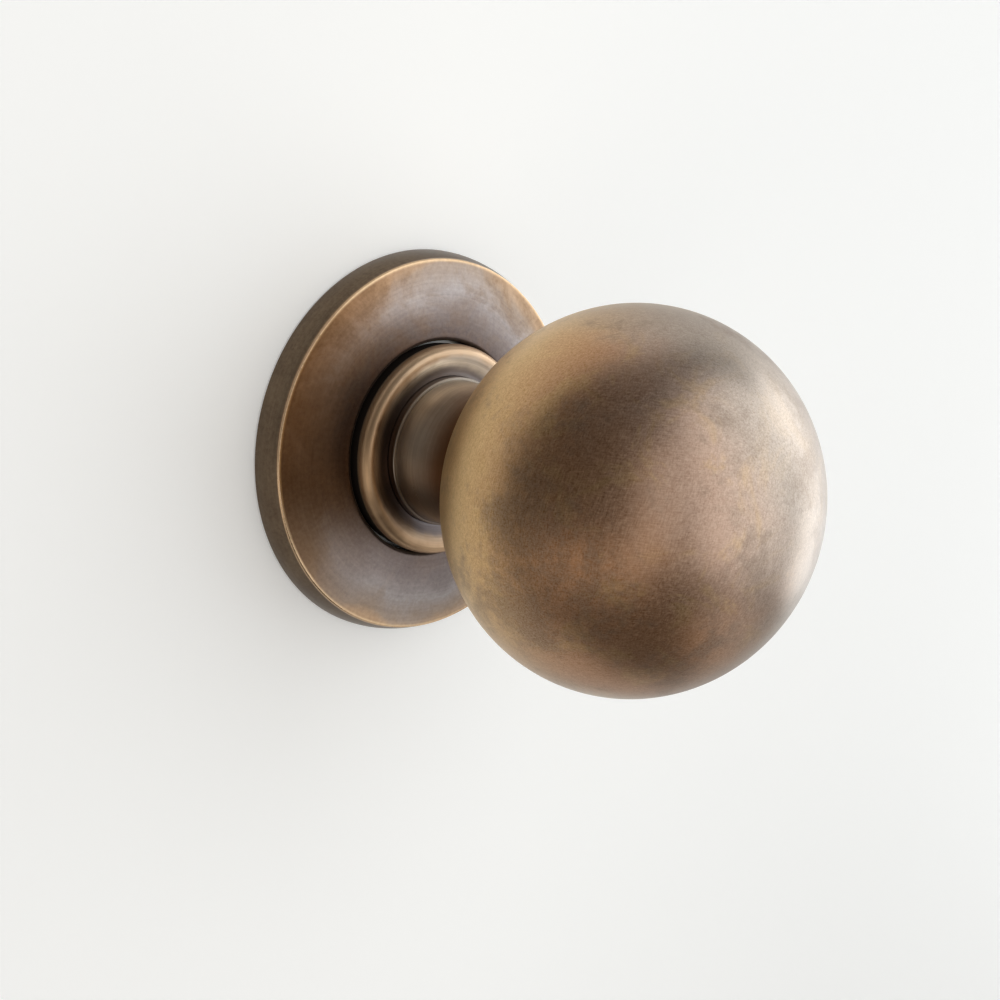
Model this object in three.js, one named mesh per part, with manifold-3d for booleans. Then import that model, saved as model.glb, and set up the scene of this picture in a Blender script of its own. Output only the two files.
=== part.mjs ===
// A sprung ball door knob with its rosette, spring cassette, spindle and fixings.
// Millimetres. The knob's axis is Y, the door's surface is the plane y = 0, the knob stands out
// towards -Y and the mechanism lies behind the surface, inside the door's cross bore. +Z is up.
//
// Round pieces are turned: an outline of (radius, height) points, where height is the distance
// out from the door, is swept about the knob's axis.

import * as THREE from 'three';
import { mergeVertices } from 'three/addons/utils/BufferGeometryUtils.js';
import Module from 'manifold-3d';

const wasm = await Module();
wasm.setup();

// ---- driving dimensions ---------------------------------------------------------------------

const rosetteRadius = 31.75;      // 2 1/2 in rosette, covers a 54 mm cross bore
const rosetteRimHeight = 4.8;     // height of the crisp line round the rosette's front
const rosetteRimRadius = 30.6;
const rosetteHoleRadius = 18;
const rosetteHoleHeight = 6.1;    // height of the front face beside the hole
const rosetteWall = 1.5;

const collarRadius = 17.3;        // widest point of the bead
const collarBeadHeight = 7.7;     // height of that widest point
const beadRoundness = 1.25;
const collarBack = 4.2;
const collarFaceHeight = 9.4;     // where the neck rises out of the collar

const neckBaseRadius = 12.2;
const neckWaistRadius = 11.2;
const neckWaistHeight = 19;
const neckTopRadius = 12.9;       // the flare that meets the ball

const ballRadius = 28.5;          // across the knob's axis
const ballDepth = 27;             // half the ball's length along the axis
const ballCentre = 49.5;          // height of the ball's centre
const ballWall = 1.6;

const spindleSide = 8;
const spindleFront = 20;          // height of the spindle's end inside the neck
const spindleBack = -50;
const socketClearance = 0.1;      // between the spindle and each square socket's walls

const journalRadius = 10;
const journalEnd = -7.2;
const bushClearance = 0.15;
const plateThickness = 2;
const plateRadius = 27.6;
const boltSpacing = 38;           // standard bolt-through centres
const boltRadius = 2;
const boltEnd = -38;
const earScrewOffset = 19.6;

const cupRadius = 16.6;
const cupWall = 1;
const cupBack = -17;

const turnLimit = 60;             // degrees each way
const fit = 0.05;                 // gap between pieces that seat on each other
const seat = 0.3;                 // gap where a piece is cut by or rests on its neighbour

const degree = Math.PI / 180;

// ---- materials ------------------------------------------------------------------------------

function metal(color, roughness) {
  return new THREE.MeshStandardMaterial({ color, roughness, metalness: 1 });
}

const agedBrass = () => metal(0x7a5a34, 0.42);
const darkBronze = () => metal(0x4c3a28, 0.48);
const brightBrass = () => metal(0xb48a4a, 0.35);
const platedSteel = () => metal(0xa8abad, 0.4);
const blackSteel = () => metal(0x3a3b3d, 0.55);
const nylon = () => new THREE.MeshStandardMaterial({ color: 0xe6e2d6, roughness: 0.5, metalness: 0 });

// ---- helpers --------------------------------------------------------------------------------

const model = new THREE.Group();
model.name = 'door_knob';

function place(name, geometry, material) {
  const mesh = new THREE.Mesh(geometry, material);
  mesh.name = name;
  model.add(mesh);
  return mesh;
}

// Points along an arc in the (radius, height) plane, from one angle to the other, in degrees.
function arc(r, h, radiusR, radiusH, from, to, steps) {
  return Array.from({ length: steps + 1 }, (_, i) => {
    const angle = (from + (to - from) * i / steps) * degree;
    return [r + radiusR * Math.cos(angle), h + radiusH * Math.sin(angle)];
  });
}

// Sweeps an outline of [radius, height] points about the knob's axis. The outline runs
// anticlockwise with radius to the right and height up, and closes on itself or on the axis.
function turned(outline, segments = 48) {
  const points = outline.map(([r, h]) => new THREE.Vector2(r, h));
  if (outline[0][0] > 0) {
    points.push(points[0].clone());
  }
  const geometry = new THREE.LatheGeometry(points, segments);
  // The lathe turns about Y with height up along +Y; the knob stands out along -Y.
  geometry.rotateX(Math.PI);
  return geometry;
}

// A plain ring or, with no inner radius, a plain disc between two heights.
function ring(outer, inner, low, high, segments = 48) {
  const outline = inner > 0
    ? [[inner, low], [outer, low], [outer, high], [inner, high]]
    : [[0, low], [outer, low], [outer, high], [0, high]];
  return turned(outline, segments);
}

// Extrudes a shape drawn in (x, z) from one height to another, along the knob's axis.
function extruded(shape, low, high, curveSegments = 12) {
  const geometry = new THREE.ExtrudeGeometry(shape, {
    depth: high - low,
    bevelEnabled: false,
    curveSegments,
  });
  // The shape's plane turns from (x, y) to (x, z), and its depth runs along -Y.
  geometry.rotateX(Math.PI / 2);
  geometry.translate(0, -low, 0);
  return geometry;
}

function squareShape(side) {
  const half = side / 2;
  return new THREE.Shape([
    new THREE.Vector2(-half, -half),
    new THREE.Vector2(half, -half),
    new THREE.Vector2(half, half),
    new THREE.Vector2(-half, half),
  ]);
}

// A round bar along the knob's axis, beside it at (x, z).
function bar(radius, low, high, x, z, segments = 20) {
  const geometry = ring(radius, 0, low, high, segments);
  geometry.translate(x, 0, z);
  return geometry;
}

function toSolid(geometry) {
  const bare = geometry.clone();
  bare.deleteAttribute('normal');
  bare.deleteAttribute('uv');
  const merged = mergeVertices(bare, 1e-4);
  return new wasm.Manifold(new wasm.Mesh({
    numProp: 3,
    vertProperties: new Float32Array(merged.attributes.position.array),
    triVerts: new Uint32Array(merged.index.array),
  }));
}

function toGeometry(solid) {
  const mesh = solid.getMesh();
  const geometry = new THREE.BufferGeometry();
  geometry.setAttribute('position', new THREE.BufferAttribute(mesh.vertProperties, 3));
  geometry.setIndex(new THREE.BufferAttribute(mesh.triVerts, 1));
  geometry.computeVertexNormals();
  return geometry;
}

function cut(body, ...tools) {
  return toGeometry(tools.reduce((left, tool) => left.subtract(toSolid(tool)), toSolid(body)));
}

function joined(...pieces) {
  return toGeometry(pieces.map(toSolid).reduce((left, right) => left.add(right)));
}

// ---- the parts seen from the room -----------------------------------------------------------

function rosette() {
  const edgeRadius = rosetteRadius - rosetteRimRadius;
  const insideTop = rosetteHoleHeight - rosetteWall - 0.2;
  const insideRim = rosetteRimHeight - rosetteWall;
  const innerRadius = rosetteRadius - rosetteWall;
  const outerSlope = 27;
  const innerSlope = 22;
  const slopeDrop = 0.35;
  const lipRound = 0.6;
  const outline = [
    [innerRadius, 0],
    [rosetteRadius, 0],
    ...arc(rosetteRimRadius, rosetteRimHeight - edgeRadius, edgeRadius, edgeRadius, 0, 90, 4),
    [outerSlope, rosetteRimHeight + slopeDrop],
    [innerSlope, rosetteHoleHeight - slopeDrop],
    [rosetteHoleRadius + 1.5, rosetteHoleHeight - 0.1],
    ...arc(rosetteHoleRadius + lipRound, rosetteHoleHeight - lipRound, lipRound, lipRound, 90, 180, 2),
    [rosetteHoleRadius, insideTop],
    [innerSlope + 2, insideTop - 0.3],
    [innerRadius - 1, insideRim],
    [innerRadius, insideRim - 1],
  ];
  place('rosette', turned(outline, 72), agedBrass());
}

function collar() {
  const beadTop = collarBeadHeight + beadRoundness;
  const beadCentre = collarRadius - beadRoundness;
  const bore = neckBaseRadius + 0.1;
  const journalBore = journalRadius + 0.1;
  const stepHeight = collarFaceHeight - 1.6;
  const bodyRadius = beadCentre + 0.4;
  const outline = [
    [journalBore, collarBack],
    [beadCentre, collarBack],
    [bodyRadius, collarBack + 0.4],
    [bodyRadius, collarBeadHeight - beadRoundness],
    ...arc(beadCentre, collarBeadHeight, beadRoundness, beadRoundness, -50, 90, 6),
    [beadCentre - 1, beadTop + 0.05],
    [bore, collarFaceHeight],
    [bore, stepHeight],
    [journalBore, stepHeight],
  ];
  place('collar', turned(outline, 48), brightBrass());
}

// The neck stands on the collar, narrows to its waist and flares to meet the ball. Behind the
// collar it runs on as the bearing journal, with a groove for the circlip.
function neck() {
  const shoulder = collarFaceHeight - 1.5;
  const grooveRadius = journalRadius - 0.8;
  const grooveFront = -5.1;
  const grooveBack = -6.3;
  const spigotRadius = 10;
  const spigotEnd = ballSeatHeight() + 4;
  const side = Array.from({ length: 9 }, (_, i) => {
    const along = i / 8;
    const base = collarFaceHeight + 0.6;
    const height = base + (neckWaistHeight - base) * along;
    const ease = (1 - Math.cos(Math.PI * along)) / 2;
    return [neckBaseRadius + (neckWaistRadius - neckBaseRadius) * ease, height];
  });
  const flareHeight = ballSeatHeight() - fit - neckWaistHeight;
  const flare = arc(
    neckTopRadius, neckWaistHeight, neckTopRadius - neckWaistRadius, flareHeight, 180, 90, 6,
  ).slice(1);
  const outline = [
    [0, journalEnd],
    [journalRadius, journalEnd],
    [journalRadius, grooveBack],
    [grooveRadius, grooveBack],
    [grooveRadius, grooveFront],
    [journalRadius, grooveFront],
    [journalRadius, shoulder],
    [neckBaseRadius, shoulder],
    ...side,
    ...flare,
    [spigotRadius, ballSeatHeight() - fit],
    [spigotRadius, spigotEnd],
    [0, spigotEnd],
  ];
  const socket = extruded(
    squareShape(spindleSide + 2 * socketClearance), journalEnd - 1, spindleFront + 0.5,
  );
  const holeRadius = 2.15;
  const holeDepth = neckBaseRadius + 2;
  const screwHole = new THREE.CylinderGeometry(holeRadius, holeRadius, holeDepth, 24);
  screwHole.rotateX(Math.PI / 2);
  screwHole.translate(0, -setScrewHeight, -holeDepth / 2);
  place('neck', cut(turned(outline, 48), socket, screwHole), darkBronze());
}

// The height at which the ball is cut flat to sit on the neck's flare.
function ballSeatHeight() {
  return ballCentre - ballDepth * Math.sqrt(1 - (neckTopRadius / ballRadius) ** 2);
}

// A hollow shell, open behind: its outline runs back along the inside from the front pole to
// the mouth, and forward again along the outside.
function ball() {
  const mouth = 10.1;
  const seatAngle = -Math.acos(neckTopRadius / ballRadius) / degree;
  const innerRadius = ballRadius - ballWall;
  const innerDepth = ballDepth - ballWall;
  const mouthAngle = -Math.acos(mouth / innerRadius) / degree;
  const outline = [
    [0, ballCentre + innerDepth],
    ...arc(0, ballCentre, innerRadius, innerDepth, 90, mouthAngle, 10).slice(1),
    [mouth, ballSeatHeight()],
    ...arc(0, ballCentre, ballRadius, ballDepth, seatAngle, 0, 8),
    ...arc(0, ballCentre, ballRadius, ballDepth, 0, 90, 11).slice(1, -1),
    [0, ballCentre + ballDepth],
  ];
  place('ball', turned(outline, 56), agedBrass());
}

// ---- the knob's own fixings -----------------------------------------------------------------

const setScrewHeight = 14.5;

function setScrew() {
  const radius = 1.85;
  const tip = -(spindleSide / 2 + seat);
  const head = -(neckWaistRadius - 0.2);
  const keyRadius = 1;
  const keyReach = 2.2;
  const body = new THREE.CylinderGeometry(radius, radius, tip - head, 20);
  const keySocket = new THREE.CylinderGeometry(keyRadius, keyRadius, 2 * keyReach, 6);
  keySocket.translate(0, (tip - head) / 2, 0);
  const screw = place('set_screw', cut(body, keySocket), blackSteel());
  screw.position.set(0, -setScrewHeight, (tip + head) / 2);
  screw.rotation.x = -Math.PI / 2;
}

function spindle() {
  const body = extruded(squareShape(spindleSide), spindleBack, spindleFront);
  place('spindle', body, platedSteel());
}

// ---- bearing --------------------------------------------------------------------------------

const bushFlangeTop = plateThickness + 1.4;
const bushBodyRadius = 11.9;
const bushEnd = -4;
const washerBore = 10.3;

function bush() {
  const bore = journalRadius + bushClearance;
  const flangeRadius = 15;
  const flangeBack = plateThickness + fit;
  const outline = [
    [bore, bushEnd],
    [bushBodyRadius, bushEnd],
    [bushBodyRadius, flangeBack],
    [flangeRadius, flangeBack],
    [flangeRadius, bushFlangeTop],
    [bore, bushFlangeTop],
  ];
  place('bush', turned(outline), brightBrass());
}

function thrustWasher() {
  const outer = 14.5;
  const gap = 0.1;
  const geometry = ring(outer, washerBore, bushFlangeTop + gap, collarBack - gap);
  place('thrust_washer', geometry, nylon());
}

// A spring washer with three waves round it.
function waveWasher() {
  const waves = 3;
  const rise = 0.2;
  const outer = 13;
  const back = -4.85;
  const front = -4.45;
  const geometry = ring(outer, washerBore, back, front, 60);
  const position = geometry.attributes.position;
  for (let i = 0; i < position.count; i += 1) {
    const angle = Math.atan2(position.getZ(i), position.getX(i));
    position.setY(i, position.getY(i) + rise * Math.cos(waves * angle));
  }
  place('wave_washer', geometry, platedSteel());
}

// An external circlip: a ring open at the bottom, with a lug and a plier hole at each end.
function circlip() {
  const inner = 9.45;
  const outer = 11.6;
  const opening = 16 * degree;
  const lugRadius = 1.5;
  const lugCentre = 11.4;
  const plierHoleRadius = 0.6;
  const lugTurn = 3 * degree;
  const start = -Math.PI / 2 + opening;
  const end = 1.5 * Math.PI - opening;
  const shape = new THREE.Shape();
  shape.absarc(0, 0, outer, start, end, false);
  shape.absarc(0, 0, inner, end, start, true);
  shape.closePath();
  const low = -6.2;
  const high = -5.2;
  const lugs = [start + lugTurn, end - lugTurn].map((angle) => {
    return bar(lugRadius, low, high, lugCentre * Math.cos(angle), lugCentre * Math.sin(angle));
  });
  const holes = [start + lugTurn, end - lugTurn].map((angle) => {
    const x = lugCentre * Math.cos(angle);
    const z = lugCentre * Math.sin(angle);
    return bar(plierHoleRadius, low - 1, high + 1, x, z, 12);
  });
  place('circlip', cut(joined(extruded(shape, low, high, 32), ...lugs), ...holes), blackSteel());
}

// ---- plate, clips and fixings ---------------------------------------------------------------

const clipAngles = [90, 210, 330];
const clipRivetRadius = 24;
const boltHoleRadius = 2.4;
const earScrewHoleRadius = 1.6;
const rivetHoleRadius = 1.3;
const bearingRadius = 7;          // the round hole at the back of the spring cup

function roundHole(shape, radius, x, z) {
  const hole = new THREE.Path();
  hole.absarc(x, z, radius, 0, 2 * Math.PI, true);
  shape.holes.push(hole);
}

function mountingPlate() {
  const shape = new THREE.Shape();
  shape.absarc(0, 0, plateRadius, 0, 2 * Math.PI, false);
  roundHole(shape, bushBodyRadius + fit, 0, 0);
  for (const side of [-1, 1]) {
    roundHole(shape, boltHoleRadius, side * boltSpacing / 2, 0);
    roundHole(shape, earScrewHoleRadius, 0, side * earScrewOffset);
  }
  for (const angle of clipAngles.map((a) => a * degree)) {
    const x = clipRivetRadius * Math.cos(angle);
    const z = clipRivetRadius * Math.sin(angle);
    roundHole(shape, rivetHoleRadius, x, z);
  }
  place('mounting_plate', extruded(shape, fit, plateThickness, 16), platedSteel());
}

// A through bolt with a flat slotted head, in front of the plate.
function fixingBolt(name, side) {
  const headLow = plateThickness + fit;
  const headHigh = headLow + 1.6;
  const headRadius = 3.6;
  const outline = [
    [0, boltEnd],
    [boltRadius - 0.4, boltEnd],
    [boltRadius, boltEnd + 0.6],
    [boltRadius, headLow],
    [headRadius, headLow],
    [headRadius, headHigh - 0.6],
    [headRadius - 0.8, headHigh],
    [0, headHigh],
  ];
  const slot = new THREE.BoxGeometry(8, 1.6, 0.9);
  slot.translate(0, -headHigh, 0);
  const bolt = place(name, cut(turned(outline, 20), slot), platedSteel());
  bolt.position.x = side * boltSpacing / 2;
}

// A leaf clip: a foot riveted on the plate and a sprung leg that the rosette snaps over.
function roseClip(name, angle) {
  const foot = plateThickness + fit;
  const leaf = 0.6;
  const width = 7;
  const footInner = clipRivetRadius - 2.6;
  const legInner = plateRadius + 0.5;
  const bulge = rosetteRadius - rosetteWall - seat;
  const outline = new THREE.Shape([
    new THREE.Vector2(footInner, foot),
    new THREE.Vector2(legInner, foot),
    new THREE.Vector2(legInner + 0.8, 1.7),
    new THREE.Vector2(legInner, 0.5),
    new THREE.Vector2(legInner + leaf, 0.3),
    new THREE.Vector2(bulge, 1.6),
    new THREE.Vector2(legInner + leaf, foot + leaf),
    new THREE.Vector2(footInner, foot + leaf),
  ]);
  const strip = new THREE.ExtrudeGeometry(outline, { depth: width, bevelEnabled: false });
  // Drawn in (radius, height) and swept sideways; height then turns to run along -Y.
  strip.translate(0, 0, -width / 2);
  strip.rotateX(Math.PI);
  const hole = bar(rivetHoleRadius, foot - 1, foot + leaf + 1, clipRivetRadius, 0, 16);
  const clip = place(name, cut(strip, hole), platedSteel());
  clip.rotation.y = -angle;
}

function clipRivet(name, angle) {
  const leaf = 0.6;
  const foot = plateThickness + fit + leaf + fit;
  const shankEnd = 0.1;
  const shankRadius = 1.15;
  const headRadius = 1.9;
  const outline = [
    [0, shankEnd],
    [shankRadius, shankEnd],
    [shankRadius, foot],
    ...arc(0, foot, headRadius, 0.6, 0, 90, 4),
  ];
  const rivet = place(name, turned(outline, 16), platedSteel());
  rivet.position.set(clipRivetRadius * Math.cos(angle), 0, clipRivetRadius * Math.sin(angle));
}

// ---- spring cassette ------------------------------------------------------------------------

function springHousing() {
  const inside = cupRadius - cupWall;
  const front = -fit;
  const earThickness = 1.2;
  const earWidth = 7;
  const earHoleRadius = 1.7;
  const cup = turned([
    [bearingRadius, cupBack],
    [cupRadius - 1, cupBack],
    [cupRadius, cupBack + 1],
    [cupRadius, front],
    [inside, front],
    [inside, cupBack + cupWall],
    [bearingRadius, cupBack + cupWall],
  ]);
  const ears = [-1, 1].map((side) => {
    const ear = new THREE.Shape();
    const rootZ = side * (cupRadius - 0.5);
    const tipZ = side * earScrewOffset;
    ear.moveTo(-side * earWidth / 2, rootZ);
    ear.lineTo(side * earWidth / 2, rootZ);
    const start = side > 0 ? 0 : Math.PI;
    ear.absarc(0, tipZ, earWidth / 2, start, start + Math.PI, false);
    ear.closePath();
    roundHole(ear, earHoleRadius, 0, tipZ);
    return extruded(ear, front - earThickness, front);
  });
  place('spring_housing', joined(cup, ...ears), platedSteel());
}

// A short screw driven from behind, through the cup's ear into the plate.
function housingScrew(name, side) {
  const headFront = -1.3;
  const headBack = headFront - 1.6;
  const headRadius = 2.7;
  const shankRadius = 1.45;
  const shankEnd = plateThickness - 0.1;
  const outline = [
    [0, headBack],
    [headRadius - 0.8, headBack],
    [headRadius, headBack + 0.8],
    [headRadius, headFront],
    [shankRadius, headFront],
    [shankRadius, shankEnd],
    [0, shankEnd],
  ];
  const slot = new THREE.BoxGeometry(6, 1.4, 0.7);
  slot.translate(0, -headBack, 0);
  const screw = place(name, cut(turned(outline, 20), slot), platedSteel());
  screw.position.z = side * earScrewOffset;
}

const camFront = -7.6;
const camBack = -10.2;
const camHubEnd = -15.4;
const camHubRadius = 6.7;
const camArmHalfWidth = 3;
const camArmReach = 14.2;
const drivePinOffset = 11;
const pinRadius = 1.1;

// The driver: a hub with a square hole, a flat plate with the stop arm pointing down and an
// ear pointing up that carries the drive pin.
function cam() {
  const discRadius = 9;
  const earRadius = camArmHalfWidth - 0.6;
  const armAngle = Math.asin(camArmHalfWidth / discRadius);
  const outline = new THREE.Shape();
  outline.absarc(0, 0, discRadius, -Math.PI / 2 + armAngle, Math.PI / 2 - armAngle, false);
  outline.lineTo(camArmHalfWidth, drivePinOffset);
  outline.absarc(0, drivePinOffset, earRadius, 0, Math.PI, false);
  outline.lineTo(-camArmHalfWidth, drivePinOffset);
  outline.absarc(0, 0, discRadius, Math.PI / 2 + armAngle, 1.5 * Math.PI - armAngle, false);
  outline.lineTo(-camArmHalfWidth, -camArmReach);
  outline.lineTo(camArmHalfWidth, -camArmReach);
  outline.closePath();
  const flat = extruded(outline, camBack, camFront, 20);
  const hub = ring(camHubRadius, 0, camHubEnd, camBack + 0.5, 40);
  const squareHole = extruded(
    squareShape(spindleSide + 2 * socketClearance), camHubEnd - 1, camFront + 1,
  );
  place('cam', cut(joined(flat, hub), squareHole), brightBrass());
}

function drivePin() {
  const pinEnd = -15;
  place('drive_pin', bar(pinRadius, pinEnd, camBack - fit, 0, drivePinOffset, 16), platedSteel());
}

function anchorPost() {
  const radius = 1;
  const offset = 13.9;
  const front = -10.8;
  const root = cupBack + cupWall + fit;
  place('anchor_post', bar(radius, root, front, 0, offset, 16), platedSteel());
}

// The stop pins stand where the side of the cam's arm arrives at the end of its turn.
function stopPin(name, side) {
  const radius = 1.2;
  const offset = 12.8;
  const gap = 0.25;
  const reach = Math.asin((camArmHalfWidth + radius + gap) / offset);
  const angle = turnLimit * degree + reach;
  const root = cupBack + cupWall + fit;
  const x = side * offset * Math.sin(angle);
  const z = -offset * Math.cos(angle);
  place(name, bar(radius, root, camFront, x, z, 16), platedSteel());
}

// A torsion spring: a coil round the cam's hub, with a leg at each end that bends outwards
// and rises beside the drive pin and the anchor post.
function returnSpring() {
  const wire = 0.4;
  const coilRadius = 8;
  const bend = 1.7;
  const legOffset = pinRadius + wire + 0.15;
  const legReach = 14.6;
  const front = 11.5;
  const back = 14.2;
  const leave = Math.asin((legOffset + bend) / coilRadius);
  const bendTop = coilRadius * Math.cos(leave) + bend;
  const turns = 3;
  const sweep = turns * 2 * Math.PI - 2 * leave;
  const coilSteps = 60;
  const legAndBend = (side, y) => [
    new THREE.Vector3(side * legOffset, y, legReach),
    new THREE.Vector3(side * legOffset, y, bendTop + 1),
    ...[0, 25, 50].map((turn) => new THREE.Vector3(
      side * (legOffset + bend * (1 - Math.cos(turn * degree))),
      y,
      bendTop - bend * Math.sin(turn * degree),
    )),
  ];
  const points = legAndBend(1, front);
  for (let i = 0; i <= coilSteps; i += 1) {
    const angle = leave + sweep * i / coilSteps;
    const y = front + (back - front) * i / coilSteps;
    points.push(new THREE.Vector3(coilRadius * Math.sin(angle), y, coilRadius * Math.cos(angle)));
  }
  points.push(...legAndBend(-1, back).reverse());
  const path = new THREE.CatmullRomCurve3(points, false, 'centripetal');
  const section = new THREE.Shape();
  section.absarc(0, 0, wire, 0, 2 * Math.PI, false);
  const geometry = new THREE.ExtrudeGeometry(section, {
    steps: 110,
    curveSegments: 4,
    bevelEnabled: false,
    extrudePath: path,
  });
  place('return_spring', geometry, blackSteel());
}

// ---- assembly -------------------------------------------------------------------------------

rosette();
mountingPlate();
bush();
springHousing();
housingScrew('housing_screw_top', 1);
housingScrew('housing_screw_bottom', -1);
returnSpring();
anchorPost();
stopPin('stop_pin_left', -1);
stopPin('stop_pin_right', 1);
fixingBolt('fixing_bolt_left', -1);
fixingBolt('fixing_bolt_right', 1);
clipAngles.forEach((angle, i) => {
  const turn = angle * degree;
  roseClip(`rose_clip_${i + 1}`, turn);
  clipRivet(`clip_rivet_${i + 1}`, turn);
});

ball();
neck();
collar();
spindle();
setScrew();
cam();
drivePin();
thrustWasher();
waveWasher();
circlip();

export default model;
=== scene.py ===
import math

import bpy
from mathutils import Matrix, Vector


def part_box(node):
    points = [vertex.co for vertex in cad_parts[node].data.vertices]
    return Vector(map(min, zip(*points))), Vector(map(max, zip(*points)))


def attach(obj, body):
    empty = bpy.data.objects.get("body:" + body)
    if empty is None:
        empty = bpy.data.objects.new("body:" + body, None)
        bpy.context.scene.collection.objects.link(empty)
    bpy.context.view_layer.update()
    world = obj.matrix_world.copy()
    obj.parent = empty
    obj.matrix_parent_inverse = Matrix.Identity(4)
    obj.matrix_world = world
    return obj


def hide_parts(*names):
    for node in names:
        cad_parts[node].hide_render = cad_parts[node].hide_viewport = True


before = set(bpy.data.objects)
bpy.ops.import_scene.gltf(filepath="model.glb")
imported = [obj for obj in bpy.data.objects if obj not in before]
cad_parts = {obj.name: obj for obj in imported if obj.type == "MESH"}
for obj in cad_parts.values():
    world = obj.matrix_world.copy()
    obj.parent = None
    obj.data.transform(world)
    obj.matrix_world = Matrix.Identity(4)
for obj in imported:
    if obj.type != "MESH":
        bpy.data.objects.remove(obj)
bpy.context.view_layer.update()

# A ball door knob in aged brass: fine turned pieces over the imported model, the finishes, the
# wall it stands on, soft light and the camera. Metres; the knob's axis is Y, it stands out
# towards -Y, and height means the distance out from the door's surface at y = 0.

MM = 0.001


# ---- sizes, some read from the imported parts and some given ---------------------------------

def outer_radius(node):
    """Half the width of a node that is round about the knob's axis."""
    low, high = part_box(node)
    return (high[0] - low[0]) / 2


def front(node):
    """Height of a node's front above the door's surface."""
    return -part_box(node)[0][1]


def rear(node):
    """Height of a node's back; it is negative behind the door's surface."""
    return -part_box(node)[1][1]


ROSETTE_RADIUS = outer_radius("rosette")
ROSETTE_FRONT = front("rosette")
ROSETTE_WALL = 1.5 * MM
RIM_RADIUS = ROSETTE_RADIUS - 1.15 * MM
RIM_HEIGHT = ROSETTE_FRONT - 1.3 * MM

COLLAR_RADIUS = outer_radius("collar")
COLLAR_FRONT = front("collar")
COLLAR_BACK = rear("collar")
HOLE_RADIUS = COLLAR_RADIUS + 0.3 * MM      # the rosette's hole, with a gap round the collar
BEAD_HEIGHT = COLLAR_FRONT - 1.9 * MM       # the widest point of the collar's bead
SHOULDER = COLLAR_FRONT - 1.9 * MM          # where the neck sits in the collar

NECK_RADIUS = 12.2 * MM
NECK_WAIST = 11.2 * MM
NECK_TOP = outer_radius("neck")
FOOT_HEIGHT = COLLAR_FRONT + 0.3 * MM       # the step at the neck's foot
JOURNAL_RADIUS = 10 * MM
SOCKET_FRONT = 20.5 * MM
CIRCLIP_GROOVE = (-6.3 * MM, -5.1 * MM)

BUSH_RADIUS = 11.9 * MM
CUP_RADIUS = outer_radius("spring_housing")
BOLT_HOLE = 2.4 * MM                        # radii of the holes in the plate
SCREW_HOLE = 1.6 * MM
RIVET_HOLE = 1.3 * MM

BALL_RADIUS = outer_radius("ball")
BALL_DEPTH = 27 * MM
BALL_CENTRE = front("ball") - BALL_DEPTH
BALL_WALL = 1.6 * MM
BALL_SEAT = rear("ball")


# ---- modelling helpers -----------------------------------------------------------------------

def deselect():
    """Leaves nothing selected, as the loaded nodes are."""
    if bpy.context.mode != "OBJECT":
        bpy.ops.object.mode_set(mode="OBJECT")
    bpy.ops.object.select_all(action="DESELECT")


def pick(piece):
    """Leaves one piece selected and active."""
    deselect()
    piece.select_set(True)
    bpy.context.view_layer.objects.active = piece


def placed():
    """The active piece, with its place, turn and scale put into its mesh."""
    bpy.ops.object.transform_apply(location=True, rotation=True, scale=True)
    return bpy.context.object


def select_open_edges():
    bpy.ops.mesh.select_all(action="DESELECT")
    bpy.ops.mesh.select_mode(type="EDGE")
    bpy.ops.mesh.select_non_manifold()


def arc(r, h, round_r, round_h, start, end, steps):
    """Points along an arc in the plane of radius and height, by angles in degrees."""
    points = []
    for i in range(steps + 1):
        angle = math.radians(start + (end - start) * i / steps)
        points.append((r + round_r * math.cos(angle), h + round_h * math.sin(angle)))
    return points


def eased(steps):
    """Pairs from just above 0 to 1: even steps, and the same with a soft start and end."""
    return [(i / steps, (1 - math.cos(math.pi * i / steps)) / 2) for i in range(1, steps + 1)]


def turn(name, outline, segments=192, closed=True):
    """Turns a piece as on a lathe: a ring is drawn out and resized from point to point.

    The last ring joins the first one, or, where the outline isn't closed, both are capped.
    """
    deselect()
    radius, height = outline[0]
    bpy.ops.mesh.primitive_circle_add(
        vertices=segments, radius=radius, location=(0, -height, 0), rotation=(math.pi / 2, 0, 0))
    piece = placed()
    piece.name = name
    piece.data.name = name
    bpy.ops.object.mode_set(mode="EDIT")
    bpy.ops.mesh.select_all(action="SELECT")
    for next_radius, next_height in outline[1:]:
        bpy.ops.mesh.extrude_region_move(
            TRANSFORM_OT_translate={"value": (0, height - next_height, 0)})
        grow = next_radius / radius
        bpy.ops.transform.resize(value=(grow, 1, grow), center_override=(0, -next_height, 0))
        radius, height = next_radius, next_height
    select_open_edges()
    if closed:
        bpy.ops.mesh.bridge_edge_loops()
    else:
        bpy.ops.mesh.edge_face_add()
    bpy.ops.mesh.select_all(action="SELECT")
    bpy.ops.mesh.normals_make_consistent(inside=False)
    bpy.ops.object.mode_set(mode="OBJECT")
    return piece


def smooth(piece, angle=32):
    """Shades a piece smoothly, with its sharp edges kept."""
    pick(piece)
    bpy.ops.object.shade_smooth_by_angle(angle=math.radians(angle))


def apply(piece, modifier):
    pick(piece)
    bpy.ops.object.modifier_apply(modifier=modifier.name)


def cylinder(radius, low, high, x=0.0, z=0.0, vertices=48):
    """A plain round bar along the knob's axis, between two heights."""
    deselect()
    bpy.ops.mesh.primitive_cylinder_add(
        vertices=vertices, radius=radius, depth=high - low,
        location=(x, -(low + high) / 2, z), rotation=(math.pi / 2, 0, 0))
    return placed()


def block(width, low, high, tall, x=0.0, z=0.0):
    """A plain block between two heights, by its width in x and its height in z."""
    deselect()
    bpy.ops.mesh.primitive_cube_add(
        size=1.0, location=(x, -(low + high) / 2, z), scale=(width, high - low, tall))
    return placed()


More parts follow.
